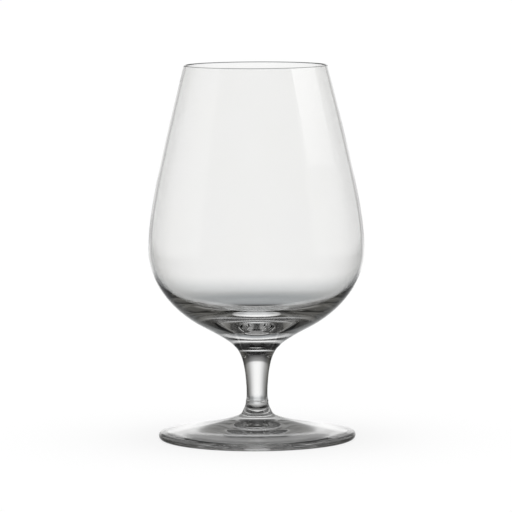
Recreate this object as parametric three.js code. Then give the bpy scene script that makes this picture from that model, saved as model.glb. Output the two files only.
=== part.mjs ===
// Snifter glass: a blown bowl, a drawn stem and a pressed foot, fused end to end.
// Millimetres and degrees, +Z up, origin in the middle of the plane that the foot stands on.
import * as THREE from "three";

// Heights, each from one fused face or end to the next.
const footHeight = 10.6;
const stemLength = 25.6;
const bowlHeight = 113.8;

// Fused faces: the radius and the slope from the vertical that both neighbours share.
const bowlJointRadius = 7.9;
const bowlJointSlope = 40.5;
const footJointRadius = 6.0;
const footJointSlope = 32;

// Bowl, outside. Heights count from the face fused to the stem.
const rimRadius = 28.75;
const rimLean = 14.3; // how far the wall leans in at the rim
const bellyRadius = 43.25;
const bellyHeight = 40.1;
const shoulderRadius = 21.3; // the straight stretch between the round belly and the flare
const shoulderHeight = 8.9;
const shoulderSlope = 27.4; // from the horizontal

// Bowl, inside.
const rimWall = 0.8;
const bellyWall = 1.2;
const wellBendRadius = 22.35; // where the steep side of the well turns into its floor
const wellBendHeight = 15.1;
const wellBendSlope = 13.2; // from the horizontal
const baseThickness = 11.3; // solid glass from the fused face up to the floor

// Stem. Heights count from the face fused to the foot.
const waistRadius = 4.2;
const waistHeight = 7.75;

// Foot.
const footRadius = 39.6;
const footEdgeRadius = 1.4; // the edge is a half round
const footSlope = 9.85; // of the top, from the horizontal
const standRingWidth = 1.9; // flat ring under the foot
const footHollow = 3.55; // height of the hollow inside that ring
const hollowSlope = 5.2; // of the hollow at the ring, from the horizontal

// How far each end of a curve holds its direction, as a share of the curve's span.
const rimHold = 0.66;
const bellyHoldUp = 0.16;
const bellyHoldDown = 0.3;
const shoulderHoldUp = 0.43;
const shoulderHoldDown = 0.75;
const bowlJointHold = 0.12;
const stemTopHold = 0.27;
const waistHoldUp = 0.165;
const waistHoldDown = 0.48;
const stemFootHold = 0.24;
const footJointHold = 0.087;
const footRunHold = 0.74;
const wellSideHold = 0.38;
const wellBendHoldUp = 0.38;
const wellBendHoldDown = 0.23;
const wellFloorHold = 0.31;
const hollowTopHold = 0.51;
const hollowSideHold = 0.165;

// Facets of the solids.
const facetsRound = 48;
const stepsPerCurve = 8;

const rad = THREE.MathUtils.degToRad;
const at = (radius, height) => new THREE.Vector2(radius, height);
const heading = (fromHorizontal) => at(Math.cos(rad(fromHorizontal)), Math.sin(rad(fromHorizontal)));
const up = at(0, 1);
const down = at(0, -1);
const inward = at(-1, 0);

// Adds a smooth curve that leaves the outline's last point along one direction and ends along another.
function sweep(outline, leave, leaveHold, end, arrive, arriveHold) {
  const start = outline.currentPoint.clone();
  const span = start.distanceTo(end);
  const first = start.clone().addScaledVector(leave, leaveHold * span);
  const second = end.clone().addScaledVector(arrive, -arriveHold * span);
  outline.bezierCurveTo(first.x, first.y, second.x, second.y, end.x, end.y);
}

// Spins a closed half outline round the vertical axis into a named glass solid.
function spun(name, outline, height) {
  const geometry = new THREE.LatheGeometry(outline.getPoints(stepsPerCurve), facetsRound);
  geometry.rotateX(Math.PI / 2);
  const glass = new THREE.MeshStandardMaterial({
    color: 0xf1f1ef,
    roughness: 0.03,
    metalness: 0,
    transparent: true,
    opacity: 0.35,
  });
  const mesh = new THREE.Mesh(geometry, glass);
  mesh.name = name;
  mesh.position.z = height;
  return mesh;
}

// Foot: hollow underneath, flat standing ring, half-round edge, then one long slope up to the stem.
function footOutline() {
  const edgeCentre = at(footRadius - footEdgeRadius, footEdgeRadius);
  const joint = at(footJointRadius, footHeight);
  const edgeTop = 90 - footSlope;
  const outline = new THREE.Path().moveTo(0, footHollow);
  const ringInside = at(edgeCentre.x - standRingWidth, 0);
  sweep(outline, heading(0), hollowTopHold, ringInside, heading(-hollowSlope), hollowSideHold);
  outline.lineTo(edgeCentre.x, 0);
  outline.absarc(edgeCentre.x, edgeCentre.y, footEdgeRadius, rad(-90), rad(edgeTop), false);
  sweep(outline, heading(180 - footSlope), footRunHold, joint, heading(90 + footJointSlope), footJointHold);
  outline.lineTo(0, footHeight);
  return outline;
}

// Stem: a waisted rod whose two ends flare to the radius and slope of what they are fused to.
function stemOutline() {
  const waist = at(waistRadius, waistHeight);
  const top = at(bowlJointRadius, stemLength);
  const outline = new THREE.Path().moveTo(0, 0).lineTo(footJointRadius, 0);
  sweep(outline, heading(90 + footJointSlope), stemFootHold, waist, up, waistHoldDown);
  sweep(outline, up, waistHoldUp, top, heading(90 - bowlJointSlope), stemTopHold);
  outline.lineTo(0, stemLength);
  return outline;
}

// Bowl: flare, shoulder, belly and leaning wall outside, half-round rim, then the well inside.
function bowlOutline() {
  const shoulder = at(shoulderRadius, shoulderHeight);
  const belly = at(bellyRadius, bellyHeight);
  const rimCentre = at(rimRadius - rimWall / 2, bowlHeight - rimWall / 2);
  const rimOutside = heading(rimLean).multiplyScalar(rimWall / 2).add(rimCentre);
  const well = at(bellyRadius - bellyWall, bellyHeight);
  const bend = at(wellBendRadius, wellBendHeight);
  const fall = heading(180 + wellBendSlope);
  const floor = at(0, baseThickness);
  const outline = new THREE.Path().moveTo(0, 0).lineTo(bowlJointRadius, 0);
  const flare = heading(90 - bowlJointSlope);
  const rise = heading(shoulderSlope);
  sweep(outline, flare, bowlJointHold, shoulder, rise, shoulderHoldDown);
  sweep(outline, rise, shoulderHoldUp, belly, up, bellyHoldDown);
  sweep(outline, up, bellyHoldUp, rimOutside, heading(90 + rimLean), rimHold);
  outline.absarc(rimCentre.x, rimCentre.y, rimWall / 2, rad(rimLean), rad(180 + rimLean), false);
  sweep(outline, heading(rimLean - 90), rimHold, well, down, bellyHoldUp);
  sweep(outline, down, wellSideHold, bend, fall, wellBendHoldUp);
  sweep(outline, fall, wellBendHoldDown, floor, inward, wellFloorHold);
  return outline;
}

const snifter = new THREE.Group();
snifter.add(spun("foot", footOutline(), 0));
snifter.add(spun("stem", stemOutline(), footHeight));
snifter.add(spun("bowl", bowlOutline(), footHeight + stemLength));

export default snifter;
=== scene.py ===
import math

import bmesh
import bpy
from mathutils import Matrix, Vector


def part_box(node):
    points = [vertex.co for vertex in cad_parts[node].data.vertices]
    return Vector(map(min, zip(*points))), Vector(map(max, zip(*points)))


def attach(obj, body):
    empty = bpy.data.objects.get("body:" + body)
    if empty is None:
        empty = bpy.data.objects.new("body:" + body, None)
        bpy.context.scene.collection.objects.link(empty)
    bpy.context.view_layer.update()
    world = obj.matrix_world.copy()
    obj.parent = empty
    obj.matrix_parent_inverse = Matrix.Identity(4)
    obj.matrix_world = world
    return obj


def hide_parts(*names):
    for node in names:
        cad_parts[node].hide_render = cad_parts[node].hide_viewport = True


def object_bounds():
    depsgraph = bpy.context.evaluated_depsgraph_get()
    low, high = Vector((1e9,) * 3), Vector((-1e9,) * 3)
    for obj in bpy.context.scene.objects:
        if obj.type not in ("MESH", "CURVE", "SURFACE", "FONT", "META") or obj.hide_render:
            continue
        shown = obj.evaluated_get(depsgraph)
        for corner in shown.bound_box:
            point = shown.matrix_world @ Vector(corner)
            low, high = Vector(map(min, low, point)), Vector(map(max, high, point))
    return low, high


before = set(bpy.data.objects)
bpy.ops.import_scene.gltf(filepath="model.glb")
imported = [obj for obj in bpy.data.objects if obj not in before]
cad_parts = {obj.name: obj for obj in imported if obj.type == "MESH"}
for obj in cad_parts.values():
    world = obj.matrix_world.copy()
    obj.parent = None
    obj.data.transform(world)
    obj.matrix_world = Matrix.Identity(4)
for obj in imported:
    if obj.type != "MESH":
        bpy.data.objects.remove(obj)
cad_low, cad_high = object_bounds()


# Foot: a disc of clear glass, pressed hot and spun while soft, so that its top falls in one slope from the
# stem to a half-round edge. It stands on a flat ring, and inside that ring it is hollow, which keeps the
# middle off the table and the glass about as thick all the way in.
MM = 0.001
foot_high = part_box("foot")[1]
foot_radius = foot_high.x
foot_edge_radius = 1.4 * MM
foot_slope = 9.85
foot_run_hold = 0.74
foot_joint_radius = 6.0 * MM
foot_joint_height = foot_high.z
foot_joint_slope = 32.0
foot_joint_hold = 0.087
stand_ring_width = 1.9 * MM
foot_hollow = 3.55 * MM
hollow_slope = 5.2
hollow_side_hold = 0.165
hollow_top_hold = 0.51
# Each ridge of a weld: its height above the fused face, how far it stands out, and how far it reaches.
foot_weld = [
    (4.47 * MM, 0.136 * MM, 0.82 * MM),
    (3.4 * MM, -0.05 * MM, 0.68 * MM),
    (0.87 * MM, 0.062 * MM, 0.81 * MM),
]
# Each wave round a weld: its size, how many go round the glass, and where it starts in radians.
weld_wander = 0.06 * MM
wander_waves = [(1.0, 2, 0.6), (0.5, 5, 2.1)]
swell_waves = [(0.12, 3, 1.0), (0.08, 7, 0.0)]
spin_marks = 1250
spin_mark_depth = 0.004 * MM
foot_ripples = 60
worn_height = 0.05 * MM

ROUND_STEPS = 240
CURVE_STEPS = 40
SAME_PLACE = 1e-8


def heading(rise):
    """Direction in a half outline that rises by this many degrees from straight outwards."""
    return Vector((math.cos(math.radians(rise)), math.sin(math.radians(rise))))


def sweep(start, leave, leave_hold, end, arrive, arrive_hold):
    """A smooth curve between two points. Each end holds its direction for a share of the span."""
    span = (end - start).length
    first = start + leave * (leave_hold * span)
    second = end - arrive * (arrive_hold * span)
    points = []
    for step in range(CURVE_STEPS + 1):
        t = (1 - math.cos(math.pi * step / CURVE_STEPS)) / 2
        s = 1 - t
        points.append(s**3 * start + 3 * s * s * t * first + 3 * s * t * t * second + t**3 * end)
    return points


def arc(centre, radius, start, end):
    """Points of a round edge, from one angle to another in degrees."""
    steps = CURVE_STEPS // 2
    return [centre + radius * heading(start + (end - start) * step / steps) for step in range(steps + 1)]


def waves(turn, parts):
    """A sum of waves round the glass, at one turn of it."""
    return sum(size * math.sin(count * turn + start) for size, count, start in parts)


def weld(height, turn, face, ridges):
    """How far the skin stands out near a fused face: fine ridges that swell and wander round the glass."""
    wander = weld_wander * waves(turn, wander_waves)
    swell = 1 + waves(turn, swell_waves)
    total = 0
    for above, standing, reach in ridges:
        away = (height - face - above - wander) / reach
        total += standing * swell * math.exp(-away * away)
    return total


def stand(name, mesh):
    """Puts a finished mesh in the scene as an object."""
    data = bpy.data.meshes.new(name)
    mesh.to_mesh(data)
    mesh.free()
    thing = bpy.data.objects.new(name, data)
    bpy.context.scene.collection.objects.link(thing)
    return thing


def spin(name, runs, welds):
    """Turns a half outline round the axis. A run is a smooth stretch of it and its material's place."""
    mesh = bmesh.new()
    rings = []
    for points, slot in runs:
        for place, point in enumerate(points):
            if rings and (point - rings[-1][0]).length < SAME_PLACE:
                if place == 0:
                    rings[-1] = (*rings[-1][:3], True)
                continue
            on_axis = point.x < SAME_PLACE
            verts = []
            for k in range(1 if on_axis else ROUND_STEPS):
                turn = 2 * math.pi * k / ROUND_STEPS
                radius = point.x
                if not on_axis:
                    radius += sum(weld(point.y, turn, *joint) for joint in welds)
                verts.append(mesh.verts.new((radius * math.cos(turn), radius * math.sin(turn), point.y)))
            rings.append((point, verts, slot, False))
    for (_, lower, _, _), (_, upper, slot, _) in zip(rings, rings[1:]):
        for k in range(ROUND_STEPS):
            n = (k + 1) % ROUND_STEPS
            corners = [
                lower[k % len(lower)], lower[n % len(lower)],
                upper[n % len(upper)], upper[k % len(upper)],
            ]
            face = mesh.faces.new(list(dict.fromkeys(corners)))
            face.smooth = True
            face.material_index = slot
    for _, verts, _, corner in rings:
        if corner and len(verts) > 1:
            for k in range(ROUND_STEPS):
                mesh.edges.get((verts[k], verts[(k + 1) % ROUND_STEPS])).smooth = False
    bmesh.ops.recalc_face_normals(mesh, faces=mesh.faces)
    return stand(name, mesh)


def feed(tree, node, values):
    """Fills a node's inputs in their order, from sockets and plain numbers."""
    for socket, value in zip(node.inputs, values):
        if isinstance(value, (int, float)):
            socket.default_value = value
        else:
            tree.links.new(value, socket)


def number(tree, operation, *values):
    """One step of arithmetic between sockets and plain numbers."""
    node = tree.nodes.new("ShaderNodeMath")
    node.operation = operation
    feed(tree, node, values)
    return node.outputs["Value"]


def noise(tree, place, detail):
    """Soft uneven values over a place, about a half on the whole."""
    node = tree.nodes.new("ShaderNodeTexNoise")
    node.inputs["Scale"].default_value = 1.0
    node.inputs["Detail"].default_value = detail
    tree.links.new(place, node.inputs["Vector"])
    return node.outputs["Fac"]


mark_detail = 3.0
ripple_detail = 1.0
ripple_share = 4.0
clear_tint = (1.0, 1.0, 1.0, 1.0)
warm_tint = (0.995, 0.995, 0.985, 1.0)
polished_roughness = 0.02
worn_roughness = 0.1
worn_unevenness = 0.4
skin = bpy.data.node_groups.new("glass_skin", "ShaderNodeTree")
skin.interface.new_socket("Marks", in_out="INPUT", socket_type="NodeSocketVector")
skin.interface.new_socket("Ripple", in_out="INPUT", socket_type="NodeSocketVector")
skin.interface.new_socket("Wear", in_out="INPUT", socket_type="NodeSocketFloat")
skin.interface.new_socket("Tint", in_out="OUTPUT", socket_type="NodeSocketColor")
skin.interface.new_socket("Roughness", in_out="OUTPUT", socket_type="NodeSocketFloat")
skin.interface.new_socket("Height", in_out="OUTPUT", socket_type="NodeSocketFloat")
given = skin.nodes.new("NodeGroupInput")
made = skin.nodes.new("NodeGroupOutput")
marks = noise(skin, given.outputs["Marks"], mark_detail)
ripple = noise(skin, given.outputs["Ripple"], ripple_detail)
tint = skin.nodes.new("ShaderNodeMix")
tint.data_type = "RGBA"
tint.inputs["A"].default_value = clear_tint
tint.inputs["B"].default_value = warm_tint
skin.links.new(ripple, tint.inputs["Factor"])
skin.links.new(tint.outputs["Result"], made.inputs["Tint"])
polish = number(skin, "MULTIPLY", marks, polished_roughness)
worn = number(skin, "ADD", worn_roughness, number(skin, "MULTIPLY", marks, worn_unevenness))
scuffs = number(skin, "MULTIPLY", given.outputs["Wear"], worn)
skin.links.new(number(skin, "ADD", polish, scuffs), made.inputs["Roughness"])
height = number(skin, "ADD", marks, number(skin, "MULTIPLY", ripple, ripple_share))
skin.links.new(height, made.inputs["Height"])

glass_ior = 1.5


def clear_glass(name, mark_depth):
    """Clear glass for one piece: its material and nodes, and where its marks, ripple and wear go in."""
    material = bpy.data.materials.new(name)
    material.use_nodes = True
    tree = material.node_tree
    shader = tree.nodes["Principled BSDF"]
    shader.inputs["IOR"].default_value = glass_ior
    shader.inputs["Transmission Weight"].default_value = 1.0
    finish = tree.nodes.new("ShaderNodeGroup")
    finish.node_tree = skin
    relief = tree.nodes.new("ShaderNodeBump")
    relief.inputs["Distance"].default_value = mark_depth
    tree.links.new(finish.outputs["Tint"], shader.inputs["Base Color"])
    tree.links.new(finish.outputs["Roughness"], shader.inputs["Roughness"])
    tree.links.new(finish.outputs["Height"], relief.inputs["Height"])
    tree.links.new(relief.outputs["Normal"], shader.inputs["Normal"])
    where = tree.nodes.new("ShaderNodeTexCoord")
    axes = tree.nodes.new("ShaderNodeSeparateXYZ")
    tree.links.new(where.outputs["Object"], axes.inputs["Vector"])
    return material, tree, axes.outputs, finish.inputs


def spread(tree, *values):
    """A place in the noise, from three values."""
    node = tree.nodes.new("ShaderNodeCombineXYZ")
    feed(tree, node, values)
    return node.outputs["Vector"]


def grain(tree, axes, across, along):
    """A place in the noise that repeats so many times a metre across the glass and along its axis."""
    return spread(
        tree,
        number(tree, "MULTIPLY", axes["X"], across),
        number(tree, "MULTIPLY", axes["Y"], across),
        number(tree, "MULTIPLY", axes["Z"], along),
    )


def from_axis(tree, axes):
    """Distance from the upright axis."""
    squares = number(tree, "ADD", number(tree, "POWER", axes["X"], 2), number(tree, "POWER", axes["Y"], 2))
    return number(tree, "SQRT", squares)


fused = bpy.data.materials.new("fused_glass")
fused.use_nodes = True
fused.node_tree.nodes.remove(fused.node_tree.nodes["Principled BSDF"])
fused.node_tree.links.new(
    fused.node_tree.nodes.new("ShaderNodeBsdfTransparent").outputs["BSDF"],
    fused.node_tree.nodes["Material Output"].inputs["Surface"],
)

up, outwards, inwards = heading(90), heading(0), heading(180)
foot_edge = Vector((foot_radius - foot_edge_radius, foot_edge_radius))
stand_ring_inside = Vector((foot_edge.x - stand_ring_width, 0))
foot_joint = Vector((foot_joint_radius, foot_joint_height))
edge_top = 90 - foot_slope
hollow = sweep(
    Vector((0, foot_hollow)), outwards, hollow_top_hold,
    stand_ring_inside, heading(-hollow_slope), hollow_side_hold,
)
round_edge = [stand_ring_inside] + arc(foot_edge, foot_edge_radius, -90, edge_top)
foot_top = sweep(
    round_edge[-1], heading(180 - foot_slope), foot_run_hold,
    foot_joint, heading(90 + foot_joint_slope), foot_joint_hold,
)
foot = spin(
    "foot_glass",
    [(hollow, 0), (round_edge + foot_top, 0), ([foot_joint, Vector((0, foot_joint.y))], 1)],
    [(foot_joint.y, foot_weld)],
)
pressed_glass, tree, axes, finish = clear_glass("pressed_glass", spin_mark_depth)
rings = spread(tree, number(tree, "MULTIPLY", from_axis(tree, axes), spin_marks), 0, 0)
tree.links.new(rings, finish["Marks"])
tree.links.new(grain(tree, axes, foot_ripples, foot_ripples), finish["Ripple"])
tree.links.new(number(tree, "LESS_THAN", axes["Z"], worn_height), finish["Wear"])
foot.data.materials.append(pressed_glass)
foot.data.materials.append(fused)
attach(foot, "root")
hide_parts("foot")


# Stem: a rod of glass drawn out of the hot base of the bowl and waisted low down. Both ends flare, and are
# fused to the bowl and to the foot while soft.
stem_low, stem_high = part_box("stem")
waist_radius = 4.2 * MM
waist_height = 7.75 * MM
bowl_joint_radius = 7.9 * MM
bowl_joint_slope = 40.5
stem_foot_hold = 0.24
waist_hold_down = 0.48
waist_hold_up = 0.165
stem_top_hold = 0.27
bowl_weld = [
    (1.1 * MM, 0.14 * MM, 0.69 * MM),
    (0.06 * MM, 0.073 * MM, 1.57 * MM),
    (-1.74 * MM, 0.086 * MM, 1.54 * MM),
]
draw_lines = 800
draw_stretch = 25
draw_line_depth = 0.004 * MM
stem_ripples = 80

waist = Vector((waist_radius, stem_low.z + waist_height))
bowl_joint = Vector((bowl_joint_radius, stem_high.z))
lower_stem = sweep(foot_joint, heading(90 + foot_joint_slope), stem_foot_hold, waist, up, waist_hold_down)
upper_stem = sweep(waist, up, waist_hold_up, bowl_joint, heading(90 - bowl_joint_slope), stem_top_hold)
stem = spin(
    "stem_glass",
    [
        ([Vector((0, foot_joint.y)), foot_joint], 1),
        (lower_stem + upper_stem, 0),
        ([bowl_joint, Vector((0, bowl_joint.y))], 1),
    ],
    [(foot_joint.y, foot_weld), (bowl_joint.y, bowl_weld)],
)
drawn_glass, tree, axes, finish = clear_glass("drawn_glass", draw_line_depth)
tree.links.new(grain(tree, axes, draw_lines, draw_lines / draw_stretch), finish["Marks"])
tree.links.new(grain(tree, axes, stem_ripples, stem_ripples), finish["Ripple"])
stem.data.materials.append(drawn_glass)
stem.data.materials.append(fused)
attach(stem, "root")
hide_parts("stem")


# Bowl: a bubble of glass blown to an egg shape, thin in its wall and heavy under its floor. The mouth is cut
# off and its rim melted round in a flame.
bowl_low, bowl_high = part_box("bowl")
shoulder_radius = 21.3 * MM
shoulder_height = 8.9 * MM
shoulder_slope = 27.4
belly_height = 40.1 * MM
rim_radius = 28.75 * MM
rim_lean = 14.3
rim_wall = 0.8 * MM
belly_wall = 1.2 * MM
well_bend_radius = 22.35 * MM
well_bend_height = 15.1 * MM
well_bend_slope = 13.2
base_thickness = 11.3 * MM
bowl_joint_hold = 0.12
shoulder_hold_down = 0.75
shoulder_hold_up = 0.43
belly_hold_down = 0.3
belly_hold_up = 0.16
rim_hold = 0.66
well_side_hold = 0.38
well_bend_hold_up = 0.38
well_bend_hold_down = 0.23
well_floor_hold = 0.31
blow_marks = 120
blow_stretch = 2
blow_mark_depth = 0.01 * MM
bowl_ripples = 40

shoulder = Vector((shoulder_radius, bowl_low.z + shoulder_height))
belly = Vector((bowl_high.x, bowl_low.z + belly_height))
rim_centre = Vector((rim_radius - rim_wall / 2, bowl_high.z - rim_wall / 2))
rim = arc(rim_centre, rim_wall / 2, rim_lean, 180 + rim_lean)
well = belly - Vector((belly_wall, 0))
well_bend = Vector((well_bend_radius, bowl_low.z + well_bend_height))
well_floor = Vector((0, bowl_low.z + base_thickness))
rise = heading(shoulder_slope)
fall = heading(180 + well_bend_slope)
flare = sweep(bowl_joint, heading(90 - bowl_joint_slope), bowl_joint_hold, shoulder, rise, shoulder_hold_down)
lower_wall = sweep(shoulder, rise, shoulder_hold_up, belly, up, belly_hold_down)
upper_wall = sweep(belly, up, belly_hold_up, rim[0], heading(90 + rim_lean), rim_hold)
inner_wall = sweep(rim[-1], heading(rim_lean - 90), rim_hold, well, -up, belly_hold_up)
well_side = sweep(well, -up, well_side_hold, well_bend, fall, well_bend_hold_up)
well_bottom = sweep(well_bend, fall, well_bend_hold_down, well_floor, inwards, well_floor_hold)
bowl = spin(
    "bowl_glass",
    [
        ([Vector((0, bowl_joint.y)), bowl_joint], 1),
        (flare + lower_wall + upper_wall + rim + inner_wall + well_side + well_bottom, 0),
    ],
    [(bowl_joint.y, bowl_weld)],
)
blown_glass, tree, axes, finish = clear_glass("blown_glass", blow_mark_depth)
tree.links.new(grain(tree, axes, blow_marks, blow_marks / blow_stretch), finish["Marks"])
tree.links.new(grain(tree, axes, bowl_ripples, bowl_ripples), finish["Ripple"])
bowl.data.materials.append(blown_glass)
bowl.data.materials.append(fused)
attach(bowl, "root")
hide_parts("bowl")


# Camera: a long lens a little above the rim, so that the mouth and the foot show as narrow ovals. It looks
# down on the glass and leans a little to one side.
lens_length = 289.42
sensor_width = 36
picture_width = 512
pixels_aside = -0.43
far_clip = 100
camera_distance = 1.641
camera_height = 0.22968
camera_pitch = 5.438
camera_roll = 0.27

camera_data = bpy.data.cameras.new("camera")
camera_data.lens = lens_length
camera_data.sensor_width = sensor_width
camera_data.shift_x = pixels_aside / picture_width
camera_data.clip_end = far_clip
camera = bpy.data.objects.new("camera", camera_data)
camera.location = (0, -camera_distance, camera_height)
pitched = Matrix.Rotation(math.radians(90 - camera_pitch), 3, "X")
rolled = Matrix.Rotation(math.radians(-camera_roll), 3, "Z")
camera.rotation_euler = (pitched @ rolled).to_euler()
bpy.context.scene.collection.objects.link(camera)
bpy.context.scene.camera = camera
bpy.context.view_layer.update()


# Light tent: white cloth lit from outside stands square behind the glass, and dim cloth hangs at its sides,
# above and below, which draws the edges of clear glass as dark lines. The tent stands still to the camera, as
# when a glass is turned on a table.
tent_radius = 5.0
tent_subdivisions = 5


def stops(tree, value, low, high, places):
    """A ramp over a value: each place is a value and the brightness there."""
    ramp = tree.nodes.new("ShaderNodeValToRGB")
    share = number(tree, "DIVIDE", number(tree, "SUBTRACT", value, low), high - low)
    tree.links.new(share, ramp.inputs["Fac"])
    elements = ramp.color_ramp.elements
    for k, (place, brightness) in enumerate(places):
        position = (place - low) / (high - low)
        element = elements[k] if k < len(elements) else elements.new(position)
        element.position = position
        element.color = (brightness, brightness, brightness, 1)
    return ramp.outputs["Color"]


def glow(name):
    """A surface that gives light by itself: its material, its nodes and the place of its colour."""
    material = bpy.data.materials.new(name)
    material.use_nodes = True
    material.cycles.emission_sampling = "NONE"
    tree = material.node_tree
    tree.nodes.clear()
    emission = tree.nodes.new("ShaderNodeEmission")
    output = tree.nodes.new("ShaderNodeOutputMaterial")
    tree.links.new(emission.outputs["Emission"], output.inputs["Surface"])
    where = tree.nodes.new("ShaderNodeTexCoord")
    axes = tree.nodes.new("ShaderNodeSeparateXYZ")
    tree.links.new(where.outputs["Object"], axes.inputs["Vector"])
    return material, tree, axes.outputs, emission.inputs["Color"]


def hang(name, mesh, place, material):
    """Puts a part of the set in its place, still to the camera and seen only in the glass."""
    part = stand(name, mesh)
    part.data.materials.append(material)
    part.location = place
    part.parent = camera
    part.matrix_parent_inverse = camera.matrix_world.inverted()
    part.visible_camera = False
    part.visible_diffuse = False
    part.visible_shadow = False
    return part


tent_cloth, tent_tree, axes, tent_light = glow("tent_cloth")
turned = number(tent_tree, "ARCTAN2", axes["X"], axes["Y"])
aside = number(tent_tree, "DEGREES", number(tent_tree, "ABSOLUTE", turned))
raised = number(tent_tree, "ARCSINE", number(tent_tree, "DIVIDE", axes["Z"], tent_radius))
above = number(tent_tree, "DEGREES", raised)


def cloth(colour, across, upwards):
    """Light from one part of the tent, shaded by the degrees aside and the degrees above the horizon."""
    node = tent_tree.nodes.new("ShaderNodeVectorMath")
    node.operation = "SCALE"
    node.inputs[0].default_value = colour
    by_turn = stops(tent_tree, aside, 0, 180, across)
    by_height = stops(tent_tree, above, -90, 90, upwards)
    tent_tree.links.new(number(tent_tree, "MULTIPLY", by_turn, by_height), node.inputs["Scale"])
    return node.outputs["Vector"]


white_field = cloth(
    (1.02, 1.02, 1.02),
    [(0, 1), (8, .95), (15, .78), (20, .63), (25, .46), (30, .31), (36, .18), (44, .08), (55, 0)],
    [(-14, 0), (-9, 1), (6, 1), (9, .94), (12, .34), (18, .25), (26, .12), (40, .06), (60, 0)],
)
foot_of_field = cloth(
    (0.985, 1.0, 1.01),
    [(0, 1), (8, .95), (18, .45), (26, .4), (38, .08), (90, .08), (125, 0)],
    [(-27, 0), (-22, .55), (-18, .71), (-14, .83), (-9, 0)],
)
# A glowing band low behind the glass in the tent: painted light that stands for a table lit from behind.
glow_of_table_behind = cloth(
    (0.96, 1.0, 1.03),
    [(0, 1), (8, .95), (18, .42), (30, .3), (40, 0)],
    [(-60, .04), (-48, .05), (-40, .12), (-33, .42), (-27, .46), (-22, 0)],
)
dim_sides = cloth(
    (1.02, 1.0, 0.93),
    [(25, 0), (38, 1), (60, 1), (85, .75), (110, .7), (135, .1), (180, .1)],
    [
        (-90, .22), (-48, .27), (-40, .27), (-30, .23), (-20, .05),
        (-8, .06), (6, .14), (14, .07), (40, .05), (60, 0),
    ],
)
light = white_field
for other in (foot_of_field, glow_of_table_behind, dim_sides):
    both = tent_tree.nodes.new("ShaderNodeVectorMath")
    both.operation = "ADD"
    tent_tree.links.new(light, both.inputs[0])
    tent_tree.links.new(other, both.inputs[1])
    light = both.outputs["Vector"]
tent_tree.links.new(light, tent_light)
tent_mesh = bmesh.new()
bmesh.ops.create_icosphere(tent_mesh, subdivisions=tent_subdivisions, radius=tent_radius)
hang("light_tent", tent_mesh, (cad_low + cad_high) / 2, tent_cloth)


# Panels: a white board stands at each side, and a tilted softbox hangs before the right one. They show as
# reflections alone: the boards as a sheen along both walls, and the softbox as a streak down the right one.
side_distance = 0.32
side_bottom, side_top = 0.02, 0.6
side_near, side_far = -0.2, 0.45
side_corners = [
    (side_near, side_bottom), (side_far, side_bottom), (side_far, side_top), (side_near, side_top),
]
side_along = [(side_near, .5), (-.06, .72), (.05, 1.05), (.15, 1.1), (side_far, 1.05)]
side_upwards = [(side_bottom, 0), (.06, 1)]
softbox_distance = 0.3
softbox_corners = [(-0.149, 0.202), (0.09, 0.157), (0.09, 0.34), (-0.215, 0.34), (-0.152, 0.235)]
softbox_tilt = 0.186
softbox_bottom, softbox_top = 0.174, 0.36
softbox_upwards = [(softbox_bottom, 1.3), (.205, 1.85), (.244, 2.5)]


def panel(name, corners, distance, material):
    """A flat panel at one side, seen only as a reflection. Its corners are places along and upwards."""
    mesh = bmesh.new()
    mesh.faces.new([mesh.verts.new((0, along, upwards)) for along, upwards in corners])
    part = hang(name, mesh, (distance, 0, 0), material)
    part.visible_transmission = False


for hand, side in (("left", -1), ("right", 1)):
    side_cloth, tree, axes, side_light = glow(hand + "_side_cloth")
    along = stops(tree, axes["Y"], side_near, side_far, side_along)
    upwards = stops(tree, axes["Z"], side_bottom, side_top, side_upwards)
    tree.links.new(number(tree, "MULTIPLY", along, upwards), side_light)
    panel(hand + "_side_panel", side_corners, side * side_distance, side_cloth)

softbox_cloth, tree, axes, softbox_light = glow("softbox_cloth")
upwards = number(tree, "ADD", axes["Z"], number(tree, "MULTIPLY", axes["Y"], softbox_tilt))
tree.links.new(stops(tree, upwards, softbox_bottom, softbox_top, softbox_upwards), softbox_light)
panel("softbox", softbox_corners, softbox_distance, softbox_cloth)


# Table under the foot: what shows through the foot's glass is the table in the shade of the glass, painted
# on a disc that glows by itself. It is painted dark round the stem and at the foot's edge and pale between,
# with a painted bright ring, and painted white where it is looked at from above.
table_radius = 0.06
table_drop = 0.05 * MM
DISC_STEPS = 96
# Painted shade of the table by distance from the axis: painted shadow under the stem and at the foot's edge,
# a painted bright ring just inside the edge, and pale between.
painted_shade_by_radius = [
    (0, 0), (.0115, 0), (.013, .25), (.0235, .36), (.0265, .2), (.0295, .25), (.031, .7), (.0335, .68),
    (.035, .05), (.04, .1), (.041, .05), (.046, .05), (.048, .17), (table_radius, .17),
]
# A painted patch of light on the front half of the table, under the stem.
front_half = [(-.004, .3), (-.001, 0)]
under_stem = [(.0115, 1), (.013, 0)]
looked_down_on = [(.82, 1), (.92, 0)]
# A ray that starts in the foot is shorter than this, and one straight through it has crossed its glass twice.
near_reach = 0.015
straight_depth = 2.5


def disc(name, radius):
    """A flat round sheet about the upright axis."""
    mesh = bmesh.new()
    bmesh.ops.create_circle(mesh, cap_ends=True, segments=DISC_STEPS, radius=radius)
    return stand(name, mesh)


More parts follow.
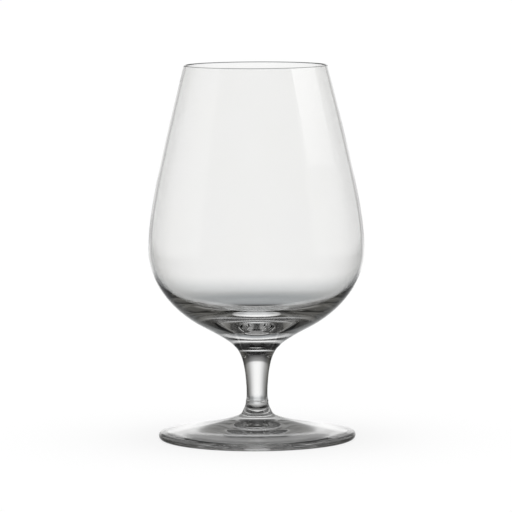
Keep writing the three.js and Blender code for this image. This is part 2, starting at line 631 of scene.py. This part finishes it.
# The disc glows by itself, with the shade and light of the table painted on it.
painted_shade_glow, tree, axes, shade_light = glow("table_in_shade")
radius = from_axis(tree, axes)
under_foot = number(tree, "LESS_THAN", radius, foot_radius)
painted_radial_shade = stops(tree, radius, 0, table_radius, painted_shade_by_radius)
painted_front_light = number(
    tree, "MULTIPLY",
    stops(tree, axes["Y"], -table_radius, table_radius, front_half),
    stops(tree, radius, 0, table_radius, under_stem),
)
steepness = tree.nodes.new("ShaderNodeLayerWeight")
path = tree.nodes.new("ShaderNodeLightPath")
seen_near = number(tree, "LESS_THAN", path.outputs["Ray Length"], near_reach)
seen_straight = number(tree, "LESS_THAN", path.outputs["Ray Depth"], straight_depth)
# Painted white where the table is looked at steeply from above, straight through the foot.
painted_white_from_above = number(
    tree, "MULTIPLY",
    stops(tree, steepness.outputs["Facing"], 0, 1, looked_down_on),
    number(tree, "MULTIPLY", seen_straight, under_foot),
)
tree.links.new(number(tree, "MAXIMUM", number(tree, "ADD", painted_radial_shade, painted_front_light), painted_white_from_above), shade_light)
veil = tree.nodes.new("ShaderNodeMixShader")
tree.links.new(number(tree, "MAXIMUM", under_foot, seen_near), veil.inputs["Fac"])
tree.links.new(tree.nodes.new("ShaderNodeBsdfTransparent").outputs["BSDF"], veil.inputs[1])
tree.links.new(shade_light.node.outputs["Emission"], veil.inputs[2])
tree.links.new(veil.outputs["Shader"], tree.nodes["Material Output"].inputs["Surface"])
shade = disc("painted_table_shade", table_radius)
shade.data.materials.append(painted_shade_glow)
shade.location.z = -table_drop
shade.visible_camera = False
shade.visible_glossy = False
shade.visible_diffuse = False
shade.visible_shadow = False


# Floor and ground: a pale floor that is mostly white by itself, so that the shadow of the glass is faint on
# it. A broad lamp overhead casts that shadow, and behind the floor the ground is white.
floor_radius = 9.0
floor_colour = (0.9, 0.9, 0.9, 1)
shadow_share = 0.22
lamp_spread = 70
lamp_strength = 3.6
glass_bounces = 32
mirror_bounces = 16

floor = disc("floor", floor_radius)
floor.visible_glossy = False
floor.visible_transmission = False

pale_floor = bpy.data.materials.new("pale_floor")
pale_floor.use_nodes = True
nodes, links = pale_floor.node_tree.nodes, pale_floor.node_tree.links
nodes.clear()
white = nodes.new("ShaderNodeEmission")
lit = nodes.new("ShaderNodeBsdfDiffuse")
lit.inputs["Color"].default_value = floor_colour
blend = nodes.new("ShaderNodeMixShader")
blend.inputs["Fac"].default_value = shadow_share
links.new(white.outputs["Emission"], blend.inputs[1])
links.new(lit.outputs["BSDF"], blend.inputs[2])
links.new(blend.outputs["Shader"], nodes.new("ShaderNodeOutputMaterial").inputs["Surface"])
floor.data.materials.append(pale_floor)

lamp_data = bpy.data.lights.new("overhead_softbox", "SUN")
lamp_data.angle = math.radians(lamp_spread)
lamp_data.energy = lamp_strength
lamp = bpy.data.objects.new("overhead_softbox", lamp_data)
lamp.visible_camera = False
lamp.visible_glossy = False
lamp.visible_transmission = False
bpy.context.scene.collection.objects.link(lamp)

world = bpy.data.worlds.new("white_ground")
bpy.context.scene.world = world
world.use_nodes = True
nodes, links = world.node_tree.nodes, world.node_tree.links
background = nodes["Background"]
background.inputs["Color"].default_value = (1, 1, 1, 1)
path = nodes.new("ShaderNodeLightPath")
links.new(path.outputs["Is Camera Ray"], background.inputs["Strength"])

scene = bpy.context.scene
scene.view_settings.view_transform = "Standard"
scene.cycles.max_bounces = glass_bounces
scene.cycles.transmission_bounces = glass_bounces
scene.cycles.glossy_bounces = mirror_bounces
scene.cycles.transparent_max_bounces = glass_bounces
